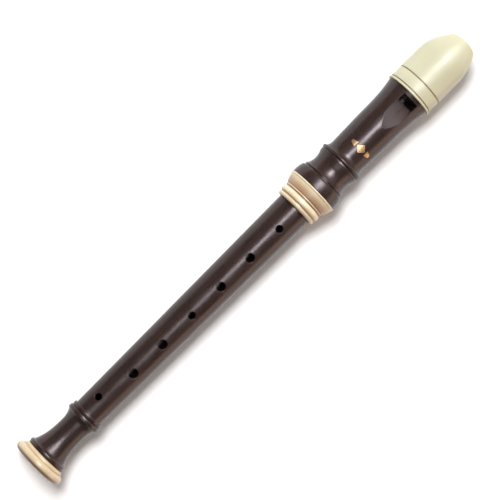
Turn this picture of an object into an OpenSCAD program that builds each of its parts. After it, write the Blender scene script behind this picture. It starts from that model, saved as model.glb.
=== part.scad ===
// Soprano recorder in two joints, lying on its side with the finger holes up.
// The bore runs along X and the mouthpiece points to +X. Z = 0 is the table that it lies on.
// Inside the modules, x is the distance from the foot's end face and z = 0 is the bore's axis.

/* [Body joint] */
// Length from the foot's end face to the tenon's shoulder
body_length = 199; // [197:0.5:201]
// Outer radius of the tube just above the foot's beads
tube_low_r = 8.95; // [8.85:0.05:9.05]
// Outer radius of the tube at the tenon's shoulder
tube_high_r = 10.65; // [10.55:0.05:10.75]
// Radius of the straight stretch of bore in the foot
foot_bore_r = 5; // [4.8:0.1:5.1]
// Radius of the bore at the tenon's end
tenon_bore_r = 6.5; // [6.3:0.1:6.6]

/* [Foot] */
// Largest radius of the foot ring, which the recorder lies on
foot_ring_r = 15.9; // [15.8:0.1:16.4]
// Length of the foot ring
foot_ring_length = 7.5; // [7.3:0.1:7.7]
// Radius of the brown lip above the foot ring
bell_lip_r = 12.4; // [12.2:0.1:12.6]
// Smallest radius of the foot's waist
bell_waist_r = 8.05; // [7.95:0.05:8.15]

/* [Tone holes] */
// Distance from the foot's end face to the lowest finger hole
low_hole_x = 51; // [50:0.2:52]
// Distance from one finger hole to the next
hole_pitch = 22.32; // [22.1:0.02:22.4]
// Angle that the little finger's hole is turned round the tube
little_finger_turn = 30; // [25:1:32]
// Radii of the seven finger holes, the lowest first
finger_hole_r = [2.05, 2.75, 2.7, 2.15, 2.6, 2.6, 2.15]; // [2:0.05:2.8]
// Radius of the thumb hole
thumb_hole_r = 2.8; // [2.6:0.1:2.9]
// Distance from the highest finger hole to the thumb hole
thumb_hole_step = 6.4; // [6:0.1:6.6]

/* [Joint] */
// Length of the tenon
tenon_length = 21; // [20:0.5:21]
// Outer radius of the tenon
tenon_r = 9.2; // [9.1:0.05:9.2]
// Length of the cork band round the tenon
cork_length = 10; // [8:0.5:11]
// Depth of the cork's groove
cork_groove = 0.6; // [0.5:0.05:0.7]

/* [Head joint] */
// Length from the tenon's shoulder to the mouthpiece's tip
head_length = 131; // [130:0.5:132]
// Radius of the head's bore
head_bore_r = 6.7; // [6.65:0.05:6.8]
// Radius of the socket ring's rim, where the brown bulb starts
bulb_r = 15.6; // [15.5:0.1:15.8]
// Radius of the waist between the bulb and the upper bead
waist_r = 11.8; // [11.7:0.05:11.9]
// Outer radius of the head above its beads
head_low_r = 11.4; // [11.3:0.05:11.5]
// Outer radius of the head where it starts to flare towards the beak
head_high_r = 12; // [11.9:0.05:12.1]

/* [Window and windway] */
// Width of the window and the windway
window_width = 10.4; // [10:0.1:10.6]
// Length of the window from the windway's exit to the labium's edge
window_length = 4; // [3.8:0.1:4.2]
// Length of the ramp behind the labium's edge
ramp_length = 18.2; // [17.5:0.1:19]
// Height of the labium's edge above the bore's axis
labium_z = 8; // [7.9:0.05:8.1]
// Height of the windway's floor above the bore's axis
windway_floor_z = 7.35; // [7.3:0.05:7.4]
// Height of the windway at its exit
windway_exit = 1.25; // [1.1:0.05:1.4]
// Height of the windway at the mouthpiece's tip
windway_mouth = 2.2; // [2:0.1:2.4]

/* [Beak] */
// Outer radius of the beak
beak_r = 14.5; // [14.4:0.05:14.6]
// Length of the beak and its collar
beak_length = 42.2; // [42:0.1:42.4]
// Half of the beak's width at its tip
tip_half_width = 7.6; // [7.4:0.1:7.8]
// Radius of the concave cut under the beak
under_cut_r = 54.6; // [53:0.2:56]

/* [Hidden] */
$fn = 96;
brown = [0.22, 0.14, 0.12];
ivory = [0.93, 0.88, 0.72];
cork_colour = [0.72, 0.54, 0.36];
gold = [0.80, 0.58, 0.30];

overall_length = body_length + head_length;
glue_gap = 0.03;     // between pieces that are glued together
running_gap = 0.02;  // round the cork, which the head turns and slides on
shoulder_gap = 0.3;  // between the tenon's shoulder and the socket ring
past = 1;            // how far a cutting tool runs past the faces that it opens
arc_steps = 8;       // straight steps in a moulded curve
fine_groove = 0.5;   // width and depth of the turned grooves between beads

// Foot: the ring's end flange, the lip, the waist and the two beads
flange_length = 1.5;
flange_bore_r = 6.4;
foot_spigot_r = 9;
ring_bead_length = 5.4;
ring_base_r = 12.9;
ring_neck_start_r = 13.2;
ring_neck_r = 11.6;
lip_end_x = foot_ring_length + 2.9;
lip_base_r = 11.2;
lip_waist_x = lip_end_x + 0.3;
lip_waist_r = 10.95;
lip_waist_power = 2.7;
waist_x = 28;
bead_waist_power = 2.6;
bead_start_x = 35.4;
bead_base_r = 9.9;
big_bead_r = 10.7;
big_bead_length = 3;
small_bead_base_r = tube_low_r + 0.5;
small_bead_r = 10.1;
small_bead_length = 2.5;
straight_bore_end_x = 30;

// Joint: tenon, cork, socket
tenon_end_x = body_length + tenon_length;
tenon_chamfer = 0.6;
cork_x = body_length + 6;
socket_r = tenon_r + 0.15;
socket_end_x = body_length + 21.5;

// Socket ring: it sleeves the head's lower end
ring_x = body_length + shoulder_gap;
ring_length = 14.45;
ring_end_x = ring_x + ring_length;
ring_flange = 1.1;
ring_mouth_r = socket_r + 0.05;
ring_lip_r = 12.8;
ring_lip_start_r = 11.7;
ring_lip_x = ring_x + 1.9;
ring_band_x = ring_x + 2.6;
ring_band_length = 3.7;
ring_band_r = 13.4;
ring_bead_x = ring_band_x + ring_band_length + fine_groove;
fine_bead_length = 1.2;
fine_bead_base_r = 12.6;
fine_bead_r = 13.1;
ring_cone_x = ring_bead_x + fine_bead_length;
ring_cone_r = 13.3;
ring_cone_rise = 0.25;
socket_wall_r = 11;

// Head: distances are from the socket ring's upper face
bulb_step = 0.25;
bulb_curve_x = ring_end_x + 0.8;
bulb_length = 7;
bulb_end_r = 14;
bulb_groove_r = 13.3;
small_head_bead_x = ring_end_x + bulb_length + fine_groove;
small_head_bead_length = 1.3;
small_head_bead_base_r = 13.1;
small_head_bead_r = 13.65;
waist_start_x = small_head_bead_x + small_head_bead_length;
waist_start_r = 13;
waist_end_x = ring_end_x + 18.8;
waist_end_r = 13;
waist_power = 2;
ridge_r = 13.1;
upper_bead_x = ring_end_x + 20.9;
upper_bead_length = 2;
upper_bead_base_r = 12.65;
upper_bead_r = 13.8;
cove_start_r = 12.6;
cove_end_x = ring_end_x + 26.6;
cove_power = 2.2;

// Window, ramp and the head's upper end
beak_x = overall_length - beak_length;
windway_exit_x = beak_x - 2.2;
labium_x = windway_exit_x - window_length;
ramp_x = labium_x - ramp_length;
flare_x = beak_x - 25.8;
flare_end_r = 14;
flare_power = 3;
cap_spigot_r = 11.2;
cap_spigot_length = 14.5;
cap_spigot_end_x = beak_x + cap_spigot_length;
labium_edge = 0.4;
ramp_start_slope = 0.45;
under_labium_length = 24;
under_labium_z = 4;

// Beak: collar lip, groove, band, groove, then the beak itself
collar_lip_length = 1.2;
collar_lip_base_r = 14.6;
collar_lip_r = 14.9;
collar_groove = 0.8;
collar_groove_depth = 0.6;
band_length = 6.4;
band_dip = 0.15;
dome_x = overall_length - 17;
dome_r = 42;
tip_round = 1.2;
side_arc_r = 28;
tip_arc_r = 30;
side_margin = 0.1;
side_arc_offset = side_arc_r - beak_r - side_margin;
side_arc_x = overall_length - sqrt(pow(side_arc_r, 2) - pow(tip_half_width + side_arc_offset, 2));
under_cut_x = overall_length + 13.3;
under_cut_z = -49.3;
block_r = head_bore_r - glue_gap;
block_chamfer = 0.8;

// Front mark: a lozenge between two bars
mark_x = 247.4;
mark_thickness = 0.06;
mark_length = 6;
lozenge_half_width = 2.9;
mark_half_width = 6.6;
bar_gap = 0.8;

// Tube radius at x, from the beads to the shoulder
tube_x = bead_start_x + big_bead_length + small_bead_length;
function tube_r(x) = tube_low_r + (tube_high_r - tube_low_r) * (x - tube_x) / (body_length - tube_x);
// Head radius at x, from the upper cove to the flare under the beak
function head_r(x) = head_low_r + (head_high_r - head_low_r) * (x - cove_end_x) / (flare_x - cove_end_x);
// Bore radius at x in the body joint's tapered stretch
function bore_r(x) = foot_bore_r
    + (tenon_bore_r - foot_bore_r) * (x - straight_bore_end_x) / (tenon_end_x - straight_bore_end_x);

// A rounded bead on the outline, from x0 to x0 + length, that rises from base to crest
function bead(x0, length, base, crest) = [for (i = [0 : arc_steps])
    let (a = 180 * i / arc_steps)
    [x0 + length * (1 - cos(a)) / 2, base + (crest - base) * sin(a)]];
// A quarter of an ellipse from p to q, level at p and steep at q
function level_then_steep(p, q) = [for (i = [0 : arc_steps])
    let (a = 90 * i / arc_steps)
    [p.x + (q.x - p.x) * sin(a), p.y + (q.y - p.y) * (1 - cos(a))]];
// A quarter of an ellipse from p to q, steep at p and level at q
function steep_then_level(p, q) = [for (i = [0 : arc_steps])
    let (a = 90 * i / arc_steps)
    [p.x + (q.x - p.x) * (1 - cos(a)), p.y + (q.y - p.y) * sin(a)]];
// A hollow curve that leaves p level and steepens towards q with the power of the distance
function hollow(p, q, power) = [for (i = [0 : arc_steps])
    let (t = i / arc_steps)
    [p.x + (q.x - p.x) * t, p.y + (q.y - p.y) * pow(t, power)]];
// A straight slope from p to q that swells outwards by rise in its middle
function swell(p, q, rise) = [for (i = [0 : arc_steps])
    let (t = i / arc_steps)
    [p.x + (q.x - p.x) * t, p.y + (q.y - p.y) * t + rise * sin(180 * t)]];
function reversed(points) = [for (i = [len(points) - 1 : -1 : 0]) points[i]];

// Turns an outline of [x, radius] points round the bore's axis
module turned(outline) {
    rotate([0, 90, 0]) rotate_extrude() polygon([for (p = outline) [p.y, p.x]]);
}
// A straight round tool along the bore's axis
module rod(x0, x1, r) {
    translate([x0, 0, 0]) rotate([0, 90, 0]) cylinder(h = x1 - x0, r = r);
}
// A shape drawn in side view, [x, z], and given its width across the recorder
module slab(outline, width) {
    rotate([90, 0, 0]) translate([0, 0, -width / 2]) linear_extrude(width) polygon(outline);
}
// A radial hole through one wall, turned round the bore's axis from straight up
module radial_hole(x, r, turn) {
    translate([x, 0, 0]) rotate([-turn, 0, 0]) cylinder(h = foot_ring_r, r = r);
}
// Puts the recorder's own frame, bore axis and foot end, into the part's frame
module laid_down() {
    translate([-overall_length / 2, 0, foot_ring_r]) children();
}

function body_outline() = concat(
    [[flange_length + glue_gap, 0], [flange_length + glue_gap, foot_spigot_r]],
    [[foot_ring_length + glue_gap, foot_spigot_r]],
    bead(foot_ring_length + glue_gap, lip_end_x - foot_ring_length, lip_base_r, bell_lip_r),
    reversed(hollow([waist_x, bell_waist_r], [lip_waist_x, lip_waist_r], lip_waist_power)),
    hollow([waist_x, bell_waist_r], [bead_start_x, bead_base_r], bead_waist_power),
    bead(bead_start_x, big_bead_length, bead_base_r, big_bead_r),
    bead(bead_start_x + big_bead_length, small_bead_length, small_bead_base_r, small_bead_r),
    [[tube_x, tube_low_r], [body_length, tube_high_r], [body_length, tenon_r]],
    [[cork_x, tenon_r], [cork_x, tenon_r - cork_groove]],
    [[cork_x + cork_length, tenon_r - cork_groove], [cork_x + cork_length, tenon_r]],
    [[tenon_end_x - tenon_chamfer, tenon_r], [tenon_end_x, tenon_r - tenon_chamfer], [tenon_end_x, 0]]);

module body_tube() {
    color(brown) difference() {
        turned(body_outline());
        rod(0, straight_bore_end_x, foot_bore_r);
        turned([[straight_bore_end_x - past, 0], [straight_bore_end_x - past, foot_bore_r],
            [straight_bore_end_x, foot_bore_r], [tenon_end_x + past, bore_r(tenon_end_x + past)],
            [tenon_end_x + past, 0]]);
        radial_hole(low_hole_x, finger_hole_r[0], little_finger_turn);
        for (i = [1 : 6]) radial_hole(low_hole_x + i * hole_pitch, finger_hole_r[i], 0);
        radial_hole(low_hole_x + 6 * hole_pitch + thumb_hole_step, thumb_hole_r, 180);
    }
}

module foot_ring() {
    color(ivory) turned(concat(
        [[0, flange_bore_r], [0, ring_base_r]],
        bead(0, ring_bead_length, ring_base_r, foot_ring_r),
        level_then_steep([ring_bead_length, ring_neck_start_r], [foot_ring_length, ring_neck_r]),
        [[foot_ring_length, foot_spigot_r + glue_gap], [flange_length, foot_spigot_r + glue_gap]],
        [[flange_length, flange_bore_r]]));
}

module tenon_cork() {
    color(cork_colour) difference() {
        rod(cork_x + running_gap, cork_x + cork_length - running_gap, socket_r - running_gap);
        rod(cork_x - past, cork_x + cork_length + past, tenon_r - cork_groove + running_gap);
    }
}

function head_outline() = concat(
    [[ring_x + ring_flange + glue_gap, 0], [ring_x + ring_flange + glue_gap, socket_wall_r]],
    [[ring_end_x + glue_gap, socket_wall_r], [ring_end_x + glue_gap, bulb_r - bulb_step]],
    level_then_steep([bulb_curve_x, bulb_r - bulb_step], [ring_end_x + bulb_length, bulb_end_r]),
    [[ring_end_x + bulb_length, bulb_groove_r], [small_head_bead_x, bulb_groove_r]],
    bead(small_head_bead_x, small_head_bead_length, small_head_bead_base_r, small_head_bead_r),
    waist_outline(),
    bead(waist_end_x, upper_bead_x - waist_end_x, upper_bead_base_r, ridge_r),
    bead(upper_bead_x, upper_bead_length, upper_bead_base_r, upper_bead_r),
    reversed(hollow([cove_end_x, head_low_r], [upper_bead_x + upper_bead_length, cove_start_r], cove_power)),
    hollow([flare_x, head_high_r], [beak_x, flare_end_r], flare_power),
    [[beak_x, cap_spigot_r], [cap_spigot_end_x, cap_spigot_r], [cap_spigot_end_x, 0]]);
// The hollow waist: two power curves that meet level at the smallest radius
function waist_outline() =
    let (low = [(waist_start_x + waist_end_x) / 2, waist_r])
    concat(reversed(hollow(low, [waist_start_x, waist_start_r], waist_power)),
        hollow(low, [waist_end_x, waist_end_r], waist_power));

// The ramp in side view: it starts shallow at the head's surface and steepens to the labium's edge
function ramp_line() = [for (i = [0 : arc_steps])
    let (t = i / arc_steps)
    [ramp_x + ramp_length * t,
        labium_z + (head_r(ramp_x) - labium_z)
            * (1 - ramp_start_slope * t - (1 - ramp_start_slope) * pow(t, 2))]];
// The windway's channel: it also takes the raised top of the block
module windway_channel(x0, x1) {
    slope = (windway_mouth - windway_exit) / (overall_length - windway_exit_x);
    roof_z = windway_floor_z + windway_exit;
    slab([[x0, 0], [x1, 0], [x1, roof_z + slope * (x1 - windway_exit_x)],
        [x0, roof_z + slope * (x0 - windway_exit_x)]], window_width);
}

module head_tube() {
    color(brown) difference() {
        turned(head_outline());
        rod(ring_x, socket_end_x, socket_r);
        rod(socket_end_x - past, cap_spigot_end_x + past, head_bore_r);
        windway_channel(labium_x, cap_spigot_end_x + past);
        // the window and the ramp, open to the top
        slab([[labium_x, 0], [windway_exit_x, 0], [windway_exit_x, foot_ring_r], [labium_x, foot_ring_r]],
            window_width);
        slab(concat(ramp_line(), [[labium_x + past, labium_z], [labium_x + past, foot_ring_r],
            [ramp_x, foot_ring_r]]), window_width);
        // the flat underside of the labium
        slab([[labium_x - under_labium_length, under_labium_z], [labium_x, labium_z - labium_edge],
            [labium_x, 0], [labium_x - under_labium_length, 0]], window_width);
    }
}

module socket_ring() {
    color(ivory) turned(concat(
        [[ring_x, ring_mouth_r]],
        steep_then_level([ring_x, ring_lip_start_r], [ring_lip_x, ring_lip_r]),
        [[ring_lip_x, ring_lip_r - fine_groove], [ring_band_x, ring_lip_r - fine_groove]],
        bead(ring_band_x, ring_band_length, ring_lip_r - fine_groove, ring_band_r),
        [[ring_bead_x, ring_lip_r - fine_groove]],
        bead(ring_bead_x, fine_bead_length, fine_bead_base_r, fine_bead_r),
        swell([ring_cone_x, ring_cone_r], [ring_end_x, bulb_r], ring_cone_rise),
        [[ring_end_x, socket_wall_r + glue_gap], [ring_x + ring_flange, socket_wall_r + glue_gap]],
        [[ring_x + ring_flange, ring_mouth_r]]));
}

// The beak's outer form, solid: turned outline, narrowed in plan, with the concave cut below
module beak_form() {
    groove_r = beak_r - collar_groove_depth;
    band_x = beak_x + collar_lip_length + collar_groove;
    second_groove_x = band_x + band_length;
    function dome(x) = beak_r - dome_r + sqrt(pow(dome_r, 2) - pow(x - dome_x, 2));
    round_x = overall_length - tip_round;
    difference() {
        intersection() {
            turned(concat(
                [[beak_x + glue_gap, 0], [beak_x + glue_gap, collar_lip_base_r]],
                bead(beak_x + glue_gap, collar_lip_length, collar_lip_base_r, collar_lip_r),
                [[beak_x + collar_lip_length, groove_r], [band_x, groove_r]],
                [[band_x, beak_r], [band_x + band_length / 2, beak_r - band_dip], [second_groove_x, beak_r]],
                [[second_groove_x, groove_r], [second_groove_x + collar_groove, groove_r]],
                [[second_groove_x + collar_groove, beak_r]],
                [for (i = [0 : arc_steps])
                    let (x = dome_x + (round_x - dome_x) * i / arc_steps)
                    [x, dome(x)]],
                level_then_steep([round_x, dome(round_x)], [overall_length, dome(round_x) - tip_round]),
                [[overall_length, 0]]));
            translate([0, 0, -foot_ring_r]) linear_extrude(2 * foot_ring_r) union() {
                translate([beak_x - past, -foot_ring_r])
                    square([side_arc_x - beak_x + past, 2 * foot_ring_r]);
                intersection() {
                    translate([side_arc_x, side_arc_offset]) circle(side_arc_r);
                    translate([side_arc_x, -side_arc_offset]) circle(side_arc_r);
                    translate([overall_length - tip_arc_r, 0]) circle(tip_arc_r);
                }
            }
        }
        translate([under_cut_x, foot_ring_r, under_cut_z]) rotate([90, 0, 0])
            cylinder(h = 2 * foot_ring_r, r = under_cut_r);
    }
}

module beak_cap() {
    color(ivory) difference() {
        beak_form();
        rod(beak_x - past, cap_spigot_end_x + glue_gap, cap_spigot_r + glue_gap);
        rod(cap_spigot_end_x - past, overall_length + past, head_bore_r);
        windway_channel(cap_spigot_end_x - past, overall_length + past);
    }
}

module block() {
    color(brown) intersection() {
        union() {
            rod(windway_exit_x, overall_length, block_r);
            slab([[windway_exit_x, 0], [windway_exit_x, windway_floor_z - block_chamfer],
                [windway_exit_x + block_chamfer, windway_floor_z], [overall_length, windway_floor_z],
                [overall_length, 0]], window_width - 2 * glue_gap);
        }
        union() {
            rod(windway_exit_x - past, beak_x + cap_spigot_length / 2, beak_r - past);
            beak_form();
        }
    }
}

module front_mark() {
    half = mark_length / 2;
    color(gold) intersection() {
        turned([[mark_x - mark_length, head_r(mark_x - mark_length)],
            [mark_x + mark_length, head_r(mark_x + mark_length)],
            [mark_x + mark_length, head_r(mark_x + mark_length) + mark_thickness],
            [mark_x - mark_length, head_r(mark_x - mark_length) + mark_thickness]]);
        linear_extrude(foot_ring_r) union() {
            polygon([[mark_x - half, 0], [mark_x, lozenge_half_width],
                [mark_x + half, 0], [mark_x, -lozenge_half_width]]);
            for (side = [-1, 1])
                polygon([[mark_x, side * (lozenge_half_width + bar_gap)],
                    [mark_x - half / 2, side * (lozenge_half_width + 2 * bar_gap)],
                    [mark_x - half / 4, side * mark_half_width], [mark_x + half / 4, side * mark_half_width],
                    [mark_x + half / 2, side * (lozenge_half_width + 2 * bar_gap)]]);
        }
    }
}

laid_down() body_tube();
laid_down() foot_ring();
laid_down() tenon_cork();
laid_down() head_tube();
laid_down() socket_ring();
laid_down() beak_cap();
laid_down() block();
laid_down() front_mark();
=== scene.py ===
"""The looks of the soprano recorder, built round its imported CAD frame.

The pieces are made in millimetres in the recorder's own frame, with x counted from the foot's end face
and the bore's axis at y = z = 0, and put_in_place() then moves them onto the CAD frame, in metres.
"""

import math

import bmesh
import bpy
from mathutils import Matrix, Vector


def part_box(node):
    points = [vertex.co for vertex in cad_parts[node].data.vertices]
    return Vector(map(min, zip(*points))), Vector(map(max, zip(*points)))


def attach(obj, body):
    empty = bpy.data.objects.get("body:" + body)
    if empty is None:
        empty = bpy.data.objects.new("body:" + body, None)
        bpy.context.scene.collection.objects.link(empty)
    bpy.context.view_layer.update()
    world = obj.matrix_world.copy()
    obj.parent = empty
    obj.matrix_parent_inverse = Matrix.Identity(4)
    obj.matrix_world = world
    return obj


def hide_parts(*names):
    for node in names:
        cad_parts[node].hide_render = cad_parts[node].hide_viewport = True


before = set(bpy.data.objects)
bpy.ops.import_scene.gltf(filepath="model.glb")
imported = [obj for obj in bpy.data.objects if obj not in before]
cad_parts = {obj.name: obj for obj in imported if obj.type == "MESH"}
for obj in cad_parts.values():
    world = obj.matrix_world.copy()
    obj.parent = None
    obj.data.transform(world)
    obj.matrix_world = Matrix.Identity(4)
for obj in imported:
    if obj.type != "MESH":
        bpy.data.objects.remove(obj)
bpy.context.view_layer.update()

# ---------------------------------------------------------------- sizes
MM = 0.001
SEGMENTS = 240          # round the bore's axis
BEAK_SEGMENTS = 400     # round the beak, whose lower edge is sharp
CURVE_STEPS = 18        # in one bead or moulded curve
LONGEST_STEP = 1.2      # along the bore, so that cuts stay clean
CORNER_RADIUS = 0.16    # left by the mould on every turned corner
CORNER_TURN = math.radians(24)
WELD = 0.002            # closer points than this are one point
SMOOTH_ANGLE = math.radians(32)

ring_low, ring_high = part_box("foot_ring")
FOOT = Vector((ring_low.x, 0, (ring_low.z + ring_high.z) / 2))


def span(node):
    """Start, end and largest radius of a CAD node, in mm from the foot's end face."""
    low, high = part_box(node)
    return (low.x - FOOT.x) / MM, (high.x - FOOT.x) / MM, (high.y - low.y) / 2 / MM


_, foot_ring_end, foot_ring_r = span("foot_ring")
body_start, tenon_end, _ = span("body_tube")
cork_start, cork_end, cork_r = span("tenon_cork")
ring_start, ring_end, bulb_r = span("socket_ring")
head_start, spigot_end, _ = span("head_tube")
beak_start, tip, collar_r = span("beak_cap")
windway_exit, _, _ = span("block")
mark_start, mark_end, _ = span("front_mark")

GLUE_GAP = 0.03
SHOULDER = ring_start - 0.3

# Foot and body tube
FOOT_BORE_R = 5
TENON_BORE_R = 6.5
STRAIGHT_BORE_END = 30
FOOT_SPIGOT_R = 9
FLANGE_BORE_R = 6.4
RING_BEAD_END = 5.4
RING_BASE_R = 12.9
LIP_END = foot_ring_end + 2.9
LIP_BASE_R = 11.2
LIP_R = 12.4
FOOT_WAIST = (28, 8.05)
BEADS_START = 35.4
BIG_BEAD = (3, 10.7)
SMALL_BEAD = (2.5, 10.1)
TUBE_LOW_R = 8.95
TUBE_HIGH_R = 10.65
TENON_R = 9.2
CORK_GROOVE = 0.6

# Tone holes: the lowest first, as radii
LOW_HOLE = 51
HOLE_PITCH = 22.32
HOLE_RADII = (2.05, 2.75, 2.7, 2.15, 2.6, 2.6, 2.15)
LITTLE_FINGER_TURN = math.radians(30)
THUMB_HOLE = LOW_HOLE + 6 * HOLE_PITCH + 6.4
THUMB_HOLE_R = 2.8
HOLE_ROUNDING = 0.35

# Head
SOCKET_R = TENON_R + 0.15
SOCKET_END = SHOULDER + 21.5
SOCKET_WALL_R = 11
HEAD_BORE_R = 6.7
RIM_LENGTH = 1
RIM_BASE_R = 15.2
BULB_STEP = 0.25
BULB_END_R = 14
UPPER_WAIST_R = 11.8
HEAD_LOW_R = 11.4
HEAD_HIGH_R = 12
FLARE = beak_start - 25.8
FLARE_END_R = 14
CAP_SPIGOT_R = 11.2

# Window, ramp and windway
WINDOW_WIDTH = 10.4
LABIUM = windway_exit - 4
RAMP = LABIUM - 18.2
RAMP_START_SLOPE = 0.45
LABIUM_Z = 8
LABIUM_EDGE = 0.4
FLOOR_Z = 7.35
WINDWAY_EXIT_HEIGHT = 1.25
WINDWAY_MOUTH_HEIGHT = 2.2

# Beak
BEAK_R = 14.5
DOME = tip - 17
DOME_R = 42
SIDE_ARC_R = 28
TIP_HALF_WIDTH = 7.6
TIP_ARC_R = 30
TIP_ROUND = 1.2
UNDER_CUT = (tip + 13.3, -49.3, 54.6)


# ---------------------------------------------------------------- outlines
def bead(start, length, base, crest):
    """A rounded bead on an outline of (x, radius) points."""
    return [(start + length * (1 - math.cos(a)) / 2, base + (crest - base) * math.sin(a))
            for a in (math.pi * i / CURVE_STEPS for i in range(CURVE_STEPS + 1))]


def level_then_steep(p, q):
    """A quarter of an ellipse that leaves p level and reaches q steeply."""
    return [(p[0] + (q[0] - p[0]) * math.sin(a), p[1] + (q[1] - p[1]) * (1 - math.cos(a)))
            for a in (math.pi / 2 * i / CURVE_STEPS for i in range(CURVE_STEPS + 1))]


def steep_then_level(p, q):
    """A quarter of an ellipse that leaves p steeply and reaches q level."""
    return level_then_steep(q, p)[::-1]


def hollow(p, q, power):
    """A hollow curve that leaves p level and steepens towards q."""
    return [(p[0] + (q[0] - p[0]) * t, p[1] + (q[1] - p[1]) * t ** power)
            for t in (i / CURVE_STEPS for i in range(CURVE_STEPS + 1))]


def swell(p, q, rise):
    """A slope from p to q that swells by rise in its middle."""
    return [(p[0] + (q[0] - p[0]) * t, p[1] + (q[1] - p[1]) * t + rise * math.sin(math.pi * t))
            for t in (i / CURVE_STEPS for i in range(CURVE_STEPS + 1))]


def softened(outline, radius):
    """The closed outline with each sharp corner rounded."""
    points = [Vector(p) for p in outline]
    points = [p for i, p in enumerate(points) if (p - points[i - 1]).length > 1e-4]
    rounded = []
    for i, corner in enumerate(points):
        back = points[i - 1] - corner
        ahead = points[(i + 1) % len(points)] - corner
        if math.pi - back.angle(ahead) < CORNER_TURN:
            rounded.append(corner)
            continue
        reach = min(radius, 0.45 * back.length, 0.45 * ahead.length)
        a = corner + back.normalized() * reach
        b = corner + ahead.normalized() * reach
        rounded += [a * (1 - t) ** 2 + corner * 2 * t * (1 - t) + b * t ** 2 for t in (0, 1 / 3, 2 / 3, 1)]
    return rounded


def divided(points):
    """The closed outline with its long steps divided."""
    out = []
    for i, p in enumerate(points):
        step = points[(i + 1) % len(points)] - p
        parts = max(1, math.ceil(step.length / LONGEST_STEP))
        out += [p + step * k / parts for k in range(parts)]
    return out


# ---------------------------------------------------------------- mesh making
def new_piece(name, bm):
    """A smooth-shaded object from a bmesh, in mm."""
    bmesh.ops.recalc_face_normals(bm, faces=bm.faces)
    mesh = bpy.data.meshes.new(name)
    bm.to_mesh(mesh)
    bm.free()
    piece = bpy.data.objects.new(name, mesh)
    bpy.context.scene.collection.objects.link(piece)
    return piece


def lofted(name, rings, closed=False):
    """A skin over rings of points. It is closed into a loop, or capped at its two ends."""
    bm = bmesh.new()
    rows = [[bm.verts.new(p) for p in ring] for ring in rings]
    pairs = list(zip(rows, rows[1:] + rows[:1])) if closed else list(zip(rows, rows[1:]))
    for low, high in pairs:
        for i in range(len(low)):
            j = (i + 1) % len(low)
            bm.faces.new((low[i], low[j], high[j], high[i]))
    if not closed:
        bm.faces.new(rows[0][::-1])
        bm.faces.new(rows[-1])
    return new_piece(name, bm)


def turned(name, outline, radius=CORNER_RADIUS):
    """Turns a closed outline of (x, radius) points round the bore's axis."""
    points = divided(softened(outline, radius))
    angles = [2 * math.pi * i / SEGMENTS for i in range(SEGMENTS)]
    rings = [[Vector((p.x, p.y * math.sin(a), p.y * math.cos(a))) for p in points] for a in angles]
    return lofted(name, rings, closed=True)


def rod(name, start, end, radius, sides=128):
    angles = [2 * math.pi * i / sides for i in range(sides)]
    return lofted(name, [[Vector((x, radius * math.sin(a), radius * math.cos(a))) for a in angles]
                         for x in (start, end)])


def slab(name, outline, width):
    """A side view of (x, z) points given its width across the recorder."""
    return lofted(name, [[Vector((x, y, z)) for x, z in outline] for y in (-width / 2, width / 2)])


def settle(piece):
    """Makes the result of the piece's modifiers its mesh."""
    made = bpy.data.meshes.new_from_object(piece.evaluated_get(bpy.context.evaluated_depsgraph_get()))
    old, piece.data = piece.data, made
    piece.modifiers.clear()
    bpy.data.meshes.remove(old)


def weld(piece):
    """Drops the slivers that a Boolean leaves, and divides its many-sided faces into triangles."""
    bm = bmesh.new()
    bm.from_mesh(piece.data)
    bmesh.ops.remove_doubles(bm, verts=bm.verts, dist=WELD)
    bmesh.ops.dissolve_degenerate(bm, edges=bm.edges, dist=WELD)
    bmesh.ops.triangulate(bm, faces=[face for face in bm.faces if len(face.verts) > 4])
    bm.to_mesh(piece.data)
    bm.free()


def combine(piece, operation, *tools):
    for tool in tools:
        modifier = piece.modifiers.new("combine", "BOOLEAN")
        modifier.object = tool
        modifier.operation = operation
        modifier.solver = "EXACT"
    settle(piece)
    weld(piece)
    for tool in tools:
        bpy.data.objects.remove(tool)
    return piece


def cut(piece, *tools):
    return combine(piece, "DIFFERENCE", *tools)


def put_in_place(piece, body, node, material):
    """Moves a finished piece into the CAD frame, where it stands for a node and rides on its body."""
    piece.data.transform(Matrix.Translation(FOOT) @ Matrix.Scale(MM, 4))
    piece.data.shade_smooth()
    piece.data.set_sharp_from_angle(angle=SMOOTH_ANGLE)
    piece.data.materials.clear()
    piece.data.materials.append(material)
    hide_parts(node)
    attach(piece, body)
    return piece


# ---------------------------------------------------------------- body joint
def tube_r(x):
    beads_end = BEADS_START + BIG_BEAD[0] + SMALL_BEAD[0]
    return TUBE_LOW_R + (TUBE_HIGH_R - TUBE_LOW_R) * (x - beads_end) / (SHOULDER - beads_end)


def tone_hole(x, radius, turn):
    """The tool for one tone hole. Its mouth follows the tube's surface, so the rounding is even."""
    around = [2 * math.pi * i / 72 for i in range(72)]

    def ring(rho, height):
        points = []
        for a in around:
            along = rho * math.cos(a)
            across = rho * math.sin(a)
            points.append(Vector((x + along, across, height(along, across))))
        return points

    def surface(along, across):
        return math.sqrt(tube_r(x + along) ** 2 - across ** 2)

    rings = [ring(radius * 1.12, lambda along, across: 2), ring(radius, lambda along, across: 6.6)]
    for k in range(6):
        a = math.radians(80) * k / 5
        rise = HOLE_ROUNDING * (math.sin(a) - 1)
        rings.append(ring(radius + HOLE_ROUNDING * (1 - math.cos(a)),
                          lambda along, across, rise=rise: surface(along, across) + rise))
    rings.append(ring(radius + HOLE_ROUNDING, lambda along, across: TUBE_HIGH_R + 3))
    tool = lofted("tone_hole", rings)
    tool.data.transform(Matrix.Rotation(-turn, 4, "X"))
    return tool


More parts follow.
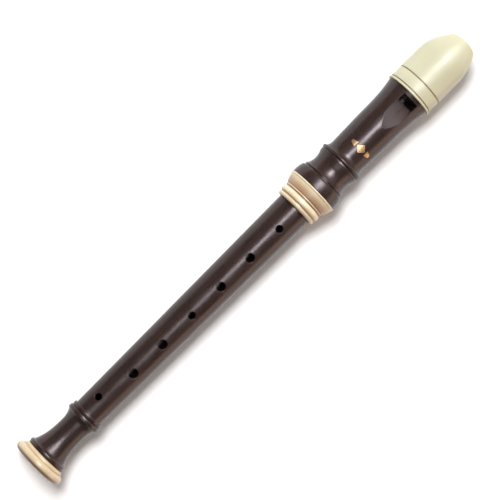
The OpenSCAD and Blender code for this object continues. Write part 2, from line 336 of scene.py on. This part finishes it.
def make_body_tube():
    beads_end = BEADS_START + BIG_BEAD[0] + SMALL_BEAD[0]
    small_bead_start = BEADS_START + BIG_BEAD[0]
    groove_start, groove_end = cork_start - 0.02, cork_end + 0.02
    outline = [(body_start, FOOT_BORE_R), (body_start, FOOT_SPIGOT_R)]
    outline += [(foot_ring_end + GLUE_GAP, FOOT_SPIGOT_R)]
    outline += bead(foot_ring_end + GLUE_GAP, LIP_END - foot_ring_end, LIP_BASE_R, LIP_R)
    outline += hollow(FOOT_WAIST, (LIP_END + 0.3, LIP_BASE_R - 0.25), 2.7)[::-1]
    outline += hollow(FOOT_WAIST, (BEADS_START, 9.9), 2.6)
    outline += bead(BEADS_START, BIG_BEAD[0], 9.9, BIG_BEAD[1])
    outline += bead(small_bead_start, SMALL_BEAD[0], TUBE_LOW_R + 0.5, SMALL_BEAD[1])
    outline += [(beads_end, TUBE_LOW_R), (SHOULDER, TUBE_HIGH_R), (SHOULDER, TENON_R)]
    outline += [(groove_start, TENON_R), (groove_start, TENON_R - CORK_GROOVE)]
    outline += [(groove_end, TENON_R - CORK_GROOVE), (groove_end, TENON_R)]
    outline += [(tenon_end - 0.6, TENON_R), (tenon_end, TENON_R - 0.6), (tenon_end, TENON_BORE_R)]
    outline += [(STRAIGHT_BORE_END, FOOT_BORE_R)]
    piece = turned("body_tube_moulding", outline)
    holes = [tone_hole(LOW_HOLE, HOLE_RADII[0], LITTLE_FINGER_TURN)]
    holes += [tone_hole(LOW_HOLE + i * HOLE_PITCH, HOLE_RADII[i], 0) for i in range(1, 7)]
    holes += [tone_hole(THUMB_HOLE, THUMB_HOLE_R, math.pi)]
    return cut(piece, *holes)


def make_foot_ring():
    outline = [(0, FLANGE_BORE_R)]
    outline += bead(0, RING_BEAD_END, RING_BASE_R, foot_ring_r)
    outline += level_then_steep((RING_BEAD_END, RING_BASE_R + 0.3), (foot_ring_end, 11.6))
    outline += [(foot_ring_end, FOOT_SPIGOT_R + GLUE_GAP), (body_start - GLUE_GAP, FOOT_SPIGOT_R + GLUE_GAP)]
    outline += [(body_start - GLUE_GAP, FLANGE_BORE_R)]
    return turned("foot_ring_turned", outline)


def make_cork():
    """The cork band, crowned a little where it swells."""
    crown = swell((cork_start, cork_r - 0.05), (cork_end, cork_r - 0.05), 0.05)
    inside = TENON_R - CORK_GROOVE + 0.02
    return turned("cork_band", crown + [(cork_end, inside), (cork_start, inside)], 0.3)


# ---------------------------------------------------------------- head joint
def head_r(x):
    cove_end = ring_end + 26.6
    return HEAD_LOW_R + (HEAD_HIGH_R - HEAD_LOW_R) * (x - cove_end) / (FLARE - cove_end)


def ramp_line():
    start_z = head_r(RAMP)
    return [(RAMP + (LABIUM - RAMP) * t,
             LABIUM_Z + (start_z - LABIUM_Z) * (1 - RAMP_START_SLOPE * t - (1 - RAMP_START_SLOPE) * t * t))
            for t in (i / CURVE_STEPS for i in range(CURVE_STEPS + 1))]


def windway_tool(start, end):
    slope = (WINDWAY_MOUTH_HEIGHT - WINDWAY_EXIT_HEIGHT) / (tip - windway_exit)

    def roof(x):
        return FLOOR_Z + WINDWAY_EXIT_HEIGHT + slope * (x - windway_exit)

    return slab("windway", [(start, 0), (end, 0), (end, roof(end)), (start, roof(start))], WINDOW_WIDTH)


def make_head_tube():
    bulb_end = ring_end + 7
    bead_start = bulb_end + 0.5
    waist_start = bead_start + 1.3
    waist_end = ring_end + 18.8
    ridge = ring_end + 20.9
    low = ((waist_start + waist_end) / 2, UPPER_WAIST_R)
    outline = [(head_start, SOCKET_R), (head_start, SOCKET_WALL_R), (ring_end + GLUE_GAP, SOCKET_WALL_R)]
    outline += [(ring_end + GLUE_GAP, bulb_r - BULB_STEP)]
    outline += level_then_steep((ring_end + 0.8, bulb_r - BULB_STEP), (bulb_end, BULB_END_R))
    outline += [(bulb_end, 13.3), (bead_start, 13.3)]
    outline += bead(bead_start, 1.3, 13.1, 13.65)
    outline += hollow(low, (waist_start, 13), 2)[::-1]
    outline += hollow(low, (waist_end, 13), 2)
    outline += bead(waist_end, ridge - waist_end, 12.65, 13.1)
    outline += bead(ridge, 2, 12.65, 13.8)
    outline += hollow((ring_end + 26.6, HEAD_LOW_R), (ridge + 2, 12.6), 2.2)[::-1]
    outline += hollow((FLARE, HEAD_HIGH_R), (beak_start - GLUE_GAP, FLARE_END_R), 3)
    outline += [(beak_start - GLUE_GAP, CAP_SPIGOT_R), (spigot_end, CAP_SPIGOT_R), (spigot_end, HEAD_BORE_R)]
    outline += [(SOCKET_END, HEAD_BORE_R), (SOCKET_END, SOCKET_R)]
    piece = turned("head_tube_moulding", outline)
    top = foot_ring_r
    opening = slab("opening", ramp_line() + [(LABIUM, 0), (windway_exit, 0), (windway_exit, top), (RAMP, top)],
                   WINDOW_WIDTH)
    under = slab("under_labium", [(LABIUM - 24, 4), (LABIUM + 0.01, LABIUM_Z - LABIUM_EDGE),
                                  (LABIUM + 0.01, 0), (LABIUM - 24, 0)], WINDOW_WIDTH)
    return cut(piece, opening, under, windway_tool(LABIUM + 0.02, spigot_end + 1))


def sharpen_ramp(piece):
    """Makes the ramp's border sharp, because it meets the tube too flatly for the angle to tell."""
    bm = bmesh.new()
    bm.from_mesh(piece.data)

    def on_ramp(face):
        place = (face.calc_center_median() - FOOT) / MM
        return (abs(face.normal.y) < 0.004 and face.normal.z > 0.9 and abs(place.y) < WINDOW_WIDTH / 2
                and RAMP < place.x < LABIUM and place.z > LABIUM_Z)

    for edge in bm.edges:
        if len({on_ramp(face) for face in edge.link_faces}) == 2:
            edge.smooth = False
    bm.to_mesh(piece.data)
    bm.free()


def make_socket_ring():
    lip_r = 12.8
    band = ring_start + 2.6
    fine_bead = band + 4.2
    cone = fine_bead + 1.2
    outline = [(ring_start, SOCKET_R + 0.05)]
    outline += steep_then_level((ring_start, lip_r - 1.1), (ring_start + 1.9, lip_r))
    outline += [(ring_start + 1.9, lip_r - 0.5), (band, lip_r - 0.5)]
    outline += bead(band, 3.7, lip_r - 0.5, 13.4)
    outline += [(fine_bead, lip_r - 0.5)]
    outline += bead(fine_bead, 1.2, lip_r - 0.2, lip_r + 0.3)
    outline += swell((cone, 13.3), (ring_end - RIM_LENGTH, RIM_BASE_R), 0.3)
    outline += bead(ring_end - RIM_LENGTH, RIM_LENGTH, RIM_BASE_R, bulb_r)
    outline += [(ring_end, SOCKET_WALL_R + GLUE_GAP), (head_start - GLUE_GAP, SOCKET_WALL_R + GLUE_GAP)]
    outline += [(head_start - GLUE_GAP, SOCKET_R + 0.05)]
    return turned("socket_ring_turned", outline)


# ---------------------------------------------------------------- beak
def collar_outline():
    """Radius along the beak: lip, groove, band, groove, then the beak with its domed end."""
    lip_end = beak_start + 1.2
    band = lip_end + 0.8
    second_groove = band + 6.4
    points = [(beak_start, collar_r - 0.3)]
    points += bead(beak_start, 1.2, collar_r - 0.3, collar_r)
    points += [(lip_end, BEAK_R - 0.6), (band, BEAK_R - 0.6)]
    points += [(band, BEAK_R), (band + 3.2, BEAK_R - 0.15), (second_groove, BEAK_R)]
    points += [(second_groove, BEAK_R - 0.6), (second_groove + 0.8, BEAK_R - 0.6), (second_groove + 0.8, BEAK_R)]
    return points, second_groove + 0.8


def beak_sections():
    """(x, radius, rounding) for each section of the beak, from the collar to the tip."""
    collar, start = collar_outline()
    soft = softened(collar + [(start + 1, BEAK_R), (start + 1, 0), (beak_start, 0)], CORNER_RADIUS)
    sections = [(p.x, p.y, 0) for p in soft if p.y > BEAK_R - 2 and p.x < start + 0.5]
    sections.sort(key=lambda s: s[0])
    sections += [(start + 0.5 + (DOME - start - 0.5) * i / 24, BEAK_R, 0) for i in range(25)]
    dome_end = tip - TIP_ROUND

    def dome(x):
        return BEAK_R - DOME_R + math.sqrt(DOME_R ** 2 - (x - DOME) ** 2)

    sections += [(DOME + (dome_end - DOME) * i / 40, dome(DOME + (dome_end - DOME) * i / 40), 0)
                 for i in range(1, 41)]
    for i in range(1, 13):
        a = math.pi / 2 * i / 12
        sections.append((dome_end + TIP_ROUND * math.sin(a), dome(dome_end), TIP_ROUND * (1 - math.cos(a))))
    return sections


def soft_min(a, b, power):
    """The smaller of two reaches, rounded off where they meet."""
    near, far = min(a, b), max(a, b)
    return near * (1 + (near / far) ** power) ** (-1 / power)


def beak_solid(name, sections, inset=0):
    """The beak's outer form. Each section is a circle, cut by the two side arcs and by the hollow below,
    with rounded corners. The last sections bow outwards to the tip's arc."""
    side_offset = SIDE_ARC_R - BEAK_R - 0.1
    side_start = tip - math.sqrt(SIDE_ARC_R ** 2 - (TIP_HALF_WIDTH + side_offset) ** 2)
    cut_x, cut_z, cut_r = UNDER_CUT
    rings = []
    for x, radius, rounding in sections:
        floor_reach = cut_r ** 2 - (x - cut_x) ** 2
        below = cut_z + math.sqrt(floor_reach) if floor_reach > 0 else -2 * radius
        side = 2 * radius
        if x > side_start:
            side = math.sqrt(SIDE_ARC_R ** 2 - (x - side_start) ** 2) - side_offset
        middle = max(0, (below + radius) / 2)
        bow = max(0, (x - DOME) / (tip - DOME)) ** 2
        ring = []
        for i in range(BEAK_SEGMENTS):
            a = 2 * math.pi * i / BEAK_SEGMENTS
            dy, dz = math.sin(a), math.cos(a)
            reach = -middle * dz + math.sqrt((middle * dz) ** 2 + radius ** 2 - middle ** 2)
            if abs(dy) > 1e-3:
                reach = soft_min(reach, side / abs(dy), 44)
            if dz < -1e-3:
                reach = soft_min(reach, (middle - below) / -dz, 20)
            reach -= rounding + inset
            y = reach * dy
            back = bow * (TIP_ARC_R - math.sqrt(TIP_ARC_R ** 2 - y ** 2))
            ring.append(Vector((x - back, y, middle + reach * dz)))
        rings.append(ring)
    return lofted(name, rings)


def make_beak_cap():
    piece = beak_solid("beak_moulding", beak_sections())
    return cut(piece, rod("spigot_hole", beak_start - 1, spigot_end + GLUE_GAP, CAP_SPIGOT_R + GLUE_GAP),
               rod("block_hole", spigot_end - 1, tip + 1, HEAD_BORE_R), windway_tool(spigot_end - 1, tip + 1))


def make_block():
    """The plug under the windway: a rod with a raised flat top, trimmed to the beak's form."""
    block_r = HEAD_BORE_R - GLUE_GAP
    half = WINDOW_WIDTH / 2 - GLUE_GAP
    start_angle = math.asin(half / block_r)
    arc = [start_angle + (2 * math.pi - 2 * start_angle) * i / 96 for i in range(97)]
    corner = 0.25
    profile = [(-half + corner, FLOOR_Z), (half - corner, FLOOR_Z), (half, FLOOR_Z - corner)]
    profile += [(block_r * math.sin(a), block_r * math.cos(a)) for a in arc]
    profile += [(-half, FLOOR_Z - corner)]
    chamfer = 0.8
    stations = [(windway_exit, chamfer), (windway_exit + chamfer, 0)]
    stations += [(windway_exit + chamfer + i, 0) for i in range(1, int(tip - windway_exit))]
    stations += [(tip, 0)]
    rings = [[Vector((x, y, min(z, FLOOR_Z - drop))) for y, z in profile] for x, drop in stations]
    piece = lofted("windway_block", rings)
    whole = [(windway_exit - 2, BEAK_R, 0)] + [s for s in beak_sections() if s[0] > DOME - 1]
    steps = [(windway_exit - 1 + i, BEAK_R, 0) for i in range(int(DOME - windway_exit))]
    return combine(piece, "INTERSECT", beak_solid("beak_form", whole[:1] + steps + whole[1:], 0.04))


# ---------------------------------------------------------------- gold ornament
def make_front_mark():
    """A stamped lozenge between two tapered bars, laid on the head's surface."""
    middle = (mark_start + mark_end) / 2
    half = (mark_end - mark_start) / 2
    lozenge = 2.9
    bar_start, bar_end = lozenge + 0.8, 6.6
    thickness = 0.05
    bm = bmesh.new()

    def on_surface(x, y, lift):
        r = head_r(x) + lift
        return Vector((x, y, math.sqrt(r * r - y * y)))

    def strip(rows):
        """rows are (y, half length along x) from one end of a shape to the other."""
        columns = 10
        grids = []
        for lift in (0, thickness):
            grids.append([[bm.verts.new(on_surface(middle + h * (2 * c / columns - 1), y, lift))
                           for c in range(columns + 1)] for y, h in rows])
        bottom, top = grids
        last = len(rows) - 1
        for r in range(last):
            for c in range(columns):
                bm.faces.new((top[r][c], top[r][c + 1], top[r + 1][c + 1], top[r + 1][c]))
                bm.faces.new((bottom[r][c], bottom[r + 1][c], bottom[r + 1][c + 1], bottom[r][c + 1]))
            for c in (0, columns):
                bm.faces.new((top[r][c], top[r + 1][c], bottom[r + 1][c], bottom[r][c]))
        for r in (0, last):
            for c in range(columns):
                bm.faces.new((top[r][c], top[r][c + 1], bottom[r][c + 1], bottom[r][c]))

    steps = 16
    strip([(lozenge * t, max(0.04, half * (1 - abs(t)))) for t in (2 * i / steps - 1 for i in range(steps + 1))])
    for side in (-1, 1):
        strip([(side * (bar_start + (bar_end - bar_start) * t), half * (0.55 - 0.3 * t))
               for t in (i / steps for i in range(steps + 1))])
    return new_piece("gold_ornament", bm)


# ---------------------------------------------------------------- materials
def add(tree, kind, values=None, **settings):
    """A node with its settings and its input values, which may be other nodes' outputs."""
    made = tree.nodes.new(kind)
    for name, value in settings.items():
        setattr(made, name, value)
    for name, value in (values or {}).items():
        if isinstance(value, bpy.types.NodeSocket):
            tree.links.new(value, made.inputs[name])
        else:
            made.inputs[name].default_value = value
    return made


def start_material(name):
    material = bpy.data.materials.new(name)
    material.use_nodes = True
    tree = material.node_tree
    tree.nodes.clear()
    shader = add(tree, "ShaderNodeBsdfPrincipled")
    output = add(tree, "ShaderNodeOutputMaterial")
    tree.links.new(shader.outputs["BSDF"], output.inputs["Surface"])
    return material, tree, shader


def object_noise(tree, scale, stretch=(1, 1, 1), detail=4, roughness=0.55):
    """Noise that stays with the piece. scale is in features per metre."""
    where = add(tree, "ShaderNodeTexCoord").outputs["Object"]
    stretched = add(tree, "ShaderNodeMapping", {"Vector": where, "Scale": stretch}).outputs["Vector"]
    noise = add(tree, "ShaderNodeTexNoise", {"Vector": stretched, "Scale": scale, "Detail": detail,
                                             "Roughness": roughness})
    return noise.outputs["Fac"]


def remap(tree, value, low, high, to_low, to_high):
    return add(tree, "ShaderNodeMapRange", {"Value": value, "From Min": low, "From Max": high,
                                            "To Min": to_low, "To Max": to_high}).outputs["Result"]


def blend_colours(tree, factor, a, b, how="MIX"):
    mixed = add(tree, "ShaderNodeMix", data_type="RGBA", blend_type=how, clamp_factor=True)
    for socket, value in ((mixed.inputs[0], factor), (mixed.inputs[6], a), (mixed.inputs[7], b)):
        if isinstance(value, bpy.types.NodeSocket):
            tree.links.new(value, socket)
        else:
            socket.default_value = value
    return mixed.outputs[2]


def edge_mask(tree, radius):
    """1 on worn edges and corners, 0 on flat ground, and the softened normal."""
    soft = add(tree, "ShaderNodeBevel", {"Radius": radius}, samples=6).outputs["Normal"]
    flat = add(tree, "ShaderNodeNewGeometry").outputs["Normal"]
    match = add(tree, "ShaderNodeVectorMath", {0: soft, 1: flat}, operation="DOT_PRODUCT").outputs["Value"]
    return remap(tree, match, 0.995, 0.86, 0, 1), soft


def groove_shade_mask(tree, distance):
    """1 deep in grooves, 0 in the open: where painted shade darkens the grooves and hollows."""
    open_sky = add(tree, "ShaderNodeAmbientOcclusion", {"Distance": distance}, samples=6).outputs["AO"]
    return remap(tree, open_sky, 0.95, 0.35, 0, 1)


def multiply(tree, a, b):
    return add(tree, "ShaderNodeMath", {0: a, 1: b}, operation="MULTIPLY").outputs["Value"]


def footward_shade_mask(tree, start, end):
    """Painted shade: 1 on the slopes from x = start to end that look towards the foot, away from the light, and
    weaker before start. The end faces, and everything past end, stay unshaded. start and end are in the CAD frame."""
    where = add(tree, "ShaderNodeTexCoord").outputs
    facing = add(tree, "ShaderNodeSeparateXYZ", {"Vector": where["Normal"]}).outputs["X"]
    place = add(tree, "ShaderNodeSeparateXYZ", {"Vector": where["Object"]}).outputs["X"]
    slope = multiply(tree, remap(tree, facing, -0.10, -0.62, 0, 1), remap(tree, facing, -0.99, -0.93, 0, 1))
    reach = multiply(tree, remap(tree, place, start - MM, start, 0.45, 1),
                     remap(tree, place, end - 0.3 * MM, end, 1, 0))
    return multiply(tree, slope, reach)


def moulded_plastic(name, colour, cloud_colour, edge_colour, groove_shade_colour, gloss, crevice_reach, footward_shade=None):
    """Polished moulded plastic: cloudy colour, fine handling marks, paler worn edges, and painted shade that
    darkens the grooves and hollows. The optional last argument is a colour of painted shade for slopes facing the
    foot, with the start and end of its reach, as for that slope mask."""
    material, tree, shader = start_material(name)
    cloud = remap(tree, object_noise(tree, 90, (0.35, 1, 1)), 0.35, 0.68, 0, 1)
    fleck = remap(tree, object_noise(tree, 2600, detail=2), 0.66, 0.74, 0, 0.35)
    worn, soft_normal = edge_mask(tree, 0.00022)
    patchy = object_noise(tree, 700)
    worn = add(tree, "ShaderNodeMath", {0: worn, 1: remap(tree, patchy, 0.35, 0.62, 0.1, 1)},
               operation="MULTIPLY").outputs["Value"]
    # Painted shade: ambient occlusion darkens the grooves and hollows.
    shade_in_grooves = groove_shade_mask(tree, crevice_reach)
    shade = blend_colours(tree, cloud, colour, cloud_colour)
    shade = blend_colours(tree, fleck, shade, cloud_colour)
    # Painted shade: slopes that face the foot, away from the light, take a darker colour.
    if footward_shade:
        shade = blend_colours(tree, footward_shade_mask(tree, *footward_shade[1:]), shade, footward_shade[0])
    shade = blend_colours(tree, shade_in_grooves, shade, groove_shade_colour)
    shade = blend_colours(tree, worn, shade, edge_colour)
    tree.links.new(shade, shader.inputs["Base Color"])

    smudge = object_noise(tree, 160, (0.5, 1, 1), detail=6)
    rough = remap(tree, smudge, 0.3, 0.7, gloss * 0.8, gloss * 1.3)
    scratches = remap(tree, object_noise(tree, 900, (0.06, 1, 1), detail=3), 0.62, 0.72, 0, 0.12)
    rough = add(tree, "ShaderNodeMath", {0: rough, 1: scratches}, operation="ADD").outputs["Value"]
    rough = add(tree, "ShaderNodeMath", {0: rough, 1: remap(tree, worn, 0, 1, 0, 0.2)},
                operation="ADD").outputs["Value"]
    tree.links.new(rough, shader.inputs["Roughness"])

    marks = object_noise(tree, 1400, (0.08, 1, 1), detail=3)
    orange_peel = object_noise(tree, 420, detail=2)
    relief = add(tree, "ShaderNodeMath", {0: marks, 1: orange_peel}, operation="ADD").outputs["Value"]
    bump = add(tree, "ShaderNodeBump", {"Strength": 0.12, "Distance": 0.00004, "Height": relief,
                                        "Normal": soft_normal})
    tree.links.new(bump.outputs["Normal"], shader.inputs["Normal"])
    return material, shader


def make_brown():
    # The colour given for the grooves is painted shade.
    material, shader = moulded_plastic(
        "brown_plastic", colour=(0.021, 0.0110, 0.0082, 1), cloud_colour=(0.031, 0.0160, 0.0120, 1),
        edge_colour=(0.11, 0.066, 0.055, 1), groove_shade_colour=(0.010, 0.005, 0.004, 1),
        gloss=0.27, crevice_reach=0.0009)
    shader.inputs["Specular Tint"].default_value = (1, 0.93, 0.98, 1)
    return material


def make_ivory(name, colour, cloud_colour, groove_shade_colour, crevice_reach, gloss, footward_shade=None):
    material, shader = moulded_plastic(
        name, colour=colour, cloud_colour=cloud_colour, edge_colour=(0.86, 0.82, 0.66, 1),
        groove_shade_colour=groove_shade_colour, gloss=gloss, crevice_reach=crevice_reach, footward_shade=footward_shade)
    shader.inputs["Subsurface Weight"].default_value = 0.25
    shader.inputs["Subsurface Radius"].default_value = (1, 0.62, 0.3)
    shader.inputs["Subsurface Scale"].default_value = 0.0012
    return material


def make_cork_material():
    """Sheet cork: warm grains with dark pores, dull and a little greasy."""
    material, tree, shader = start_material("greased_cork")
    where = add(tree, "ShaderNodeTexCoord").outputs["Object"]
    grains = add(tree, "ShaderNodeTexVoronoi", {"Vector": where, "Scale": 1500})
    pores = remap(tree, object_noise(tree, 1100, (0.4, 1, 1), detail=5), 0.60, 0.68, 0, 1)
    tone = remap(tree, grains.outputs["Color"], 0, 1, 0, 1)
    shade = blend_colours(tree, tone, (0.46, 0.27, 0.13, 1), (0.66, 0.43, 0.24, 1))
    shade = blend_colours(tree, pores, shade, (0.10, 0.045, 0.02, 1))
    tree.links.new(shade, shader.inputs["Base Color"])
    grease = remap(tree, object_noise(tree, 200), 0.4, 0.65, 0.45, 0.8)
    tree.links.new(grease, shader.inputs["Roughness"])
    bump = add(tree, "ShaderNodeBump", {"Strength": 0.6, "Distance": 0.00012, "Height": pores}, invert=True)
    tree.links.new(bump.outputs["Normal"], shader.inputs["Normal"])
    return material


def make_gold():
    """Hot-stamped foil, rubbed through to the brown plastic in small flecks."""
    material, tree, shader = start_material("gold_foil")
    rubbed = remap(tree, object_noise(tree, 1500, detail=5), 0.56, 0.62, 0, 1)
    tone = object_noise(tree, 300)
    shade = blend_colours(tree, tone, (0.62, 0.42, 0.24, 1), (0.50, 0.28, 0.12, 1))
    shade = blend_colours(tree, rubbed, shade, (0.10, 0.055, 0.035, 1))
    tree.links.new(shade, shader.inputs["Base Color"])
    tree.links.new(remap(tree, rubbed, 0, 1, 0.85, 0), shader.inputs["Metallic"])
    tree.links.new(remap(tree, tone, 0.3, 0.7, 0.28, 0.48), shader.inputs["Roughness"])
    bump = add(tree, "ShaderNodeBump", {"Strength": 0.3, "Distance": 0.00003, "Height": rubbed}, invert=True)
    tree.links.new(bump.outputs["Normal"], shader.inputs["Normal"])
    return material


# ---------------------------------------------------------------- stage
def make_floor():
    size = 3
    mesh = bpy.data.meshes.new("floor")
    mesh.from_pydata([(-size, -size, 0), (size, -size, 0), (size, size, 0), (-size, size, 0)], [], [(0, 1, 2, 3)])
    floor = bpy.data.objects.new("floor", mesh)
    bpy.context.scene.collection.objects.link(floor)
    material, tree, shader = start_material("floor")
    shader.inputs["Base Color"].default_value = (0.96, 0.96, 0.96, 1)
    shader.inputs["Roughness"].default_value = 0.7
    mesh.materials.append(material)
    return floor


def softbox(name, lean_x, lean_y, half_x, half_y, radiance, distance=1.2, colour=(1, 1, 1)):
    """A rectangular light that faces the recorder. Its place and its half sizes are angles, in degrees, seen
    from the recorder and measured from straight up. radiance is its brightness, where the floor's white is 1."""
    away = Vector((math.tan(math.radians(lean_x)), math.tan(math.radians(lean_y)), 1)).normalized()
    position = Vector((0, 0, FOOT.z)) + away * distance
    data = bpy.data.lights.new(name, "AREA")
    data.shape = "RECTANGLE"
    data.size = 2 * distance * math.tan(math.radians(half_x))
    data.size_y = 2 * distance * math.tan(math.radians(half_y))
    data.color = colour
    data.energy = radiance * data.size * data.size_y * math.pi
    light = bpy.data.objects.new(name, data)
    across = Vector((1, 0, 0))
    across = (across - away * across.dot(away)).normalized()
    light.matrix_world = Matrix.Translation(position) @ Matrix(
        (across, away.cross(across), away)).transposed().to_4x4()
    bpy.context.scene.collection.objects.link(light)
    return light


def make_lights(floor):
    """Two lights shape the recorder, one of them flagged off the floor and made up for by a third. A strip
    and four cards give the gloss, as if the others were polarised."""
    main = softbox("main_light", 4, 28, 9, 7, 17, distance=2.5)
    main.visible_glossy = False
    side = softbox("side_light", 48, 28, 11, 8, 31, distance=2.5)
    side.visible_glossy = False
    flagged = bpy.data.collections.new("all_but_floor")
    flagged.objects.link(floor)
    flagged.collection_objects[0].light_linking.link_state = "EXCLUDE"
    side.light_linking.receiver_collection = flagged
    shadow = softbox("shadow_light", 10, 28, 11, 8, 22.5, distance=2.5)
    shadow.visible_glossy = False
    floor_only = bpy.data.collections.new("floor_only")
    floor_only.objects.link(floor)
    shadow.light_linking.receiver_collection = floor_only
    for name, lean_x, lean_y, half_x, half_y, radiance in (
            ("gloss_strip", 18, 10, 18, 7.5, 15.5), ("gloss_glow", 24, 6, 12, 14, 5), ("gloss_key", 41, 8, 8, 9, 5),
            ("gloss_mouthward", 45, -5, 22, 30, 0.5), ("gloss_footward", -32, 8, 18, 14, 1.8)):
        gloss = softbox(name, lean_x, lean_y, half_x, half_y, radiance, colour=(1, 0.98, 1))
        gloss.visible_diffuse = False
    softbox("low_card", 10, -74, 35, 14, 1.95, colour=(1, 0.72, 0.54))
    world = bpy.data.worlds.new("studio")
    bpy.context.scene.world = world
    world.use_nodes = True
    world.node_tree.nodes["Background"].inputs["Color"].default_value = (0.96, 0.97, 1, 1)
    world.node_tree.nodes["Background"].inputs["Strength"].default_value = 0.17


def make_camera():
    """A long lens above the recorder, leaning towards the foot and to the little finger's side."""
    turn = math.radians(44.83)
    roll = math.radians(12.8)
    lean = math.radians(2.57)
    distance = 1.2338
    aim = Vector((0.00099, 0.0011, FOOT.z))
    to_side = Vector((0, math.sin(roll), math.cos(roll)))
    to_camera = to_side * math.cos(lean) - Vector((1, 0, 0)) * math.sin(lean)
    along = Vector((1, 0, 0))
    along = (along - to_camera * along.dot(to_camera)).normalized()
    across = to_camera.cross(along)
    right = along * math.cos(turn) - across * math.sin(turn)
    up = along * math.sin(turn) + across * math.cos(turn)
    data = bpy.data.cameras.new("camera")
    data.lens = 162
    data.sensor_width = 36
    camera = bpy.data.objects.new("camera", data)
    camera.matrix_world = Matrix.Translation(aim + to_camera * distance) @ Matrix(
        (right, up, to_camera)).transposed().to_4x4()
    bpy.context.scene.collection.objects.link(camera)
    bpy.context.scene.camera = camera


# ---------------------------------------------------------------- the recorder
make_camera()
make_lights(make_floor())
bpy.context.scene.view_settings.view_transform = "Standard"

brown = make_brown()
cone_start = FOOT.x + (ring_start + 7.5) * MM
cone_end = FOOT.x + (ring_end - RIM_LENGTH) * MM
# The foot ring's ivory is darker than the socket ring's as painted shade, and each ivory's groove colour and
# footward colour are painted shade too.
shaded_foot_ivory = make_ivory("shaded_foot_ivory", (0.55, 0.44, 0.285, 1), (0.61, 0.50, 0.335, 1), (0.30, 0.14, 0.05, 1),
                        crevice_reach=0.0018, gloss=0.3, footward_shade=((0.20, 0.10, 0.045, 1), FOOT.x, 0))
# The socket ring's cone faces the foot and is darkened there as painted shade.
ring_ivory = make_ivory("ring_ivory", (0.72, 0.61, 0.42, 1), (0.78, 0.68, 0.49, 1), (0.30, 0.14, 0.05, 1),
                        crevice_reach=0.0018, gloss=0.27, footward_shade=((0.33, 0.12, 0.028, 1), cone_start, cone_end))
beak_ivory = make_ivory("beak_ivory", (0.54, 0.52, 0.36, 1), (0.56, 0.54, 0.385, 1), (0.28, 0.15, 0.06, 1),
                        crevice_reach=0.0011, gloss=0.38)

put_in_place(make_body_tube(), "body", "body_tube", brown)
put_in_place(make_foot_ring(), "body", "foot_ring", shaded_foot_ivory)
put_in_place(make_cork(), "joint_seal", "tenon_cork", make_cork_material())
sharpen_ramp(put_in_place(make_head_tube(), "head", "head_tube", brown))
put_in_place(make_socket_ring(), "head", "socket_ring", ring_ivory)
put_in_place(make_beak_cap(), "head", "beak_cap", beak_ivory)
# The block takes the brown plastic, so that the window reads dark: the brown stands in for the shade inside it.
put_in_place(make_block(), "head", "block", brown)
put_in_place(make_front_mark(), "head", "front_mark", make_gold())
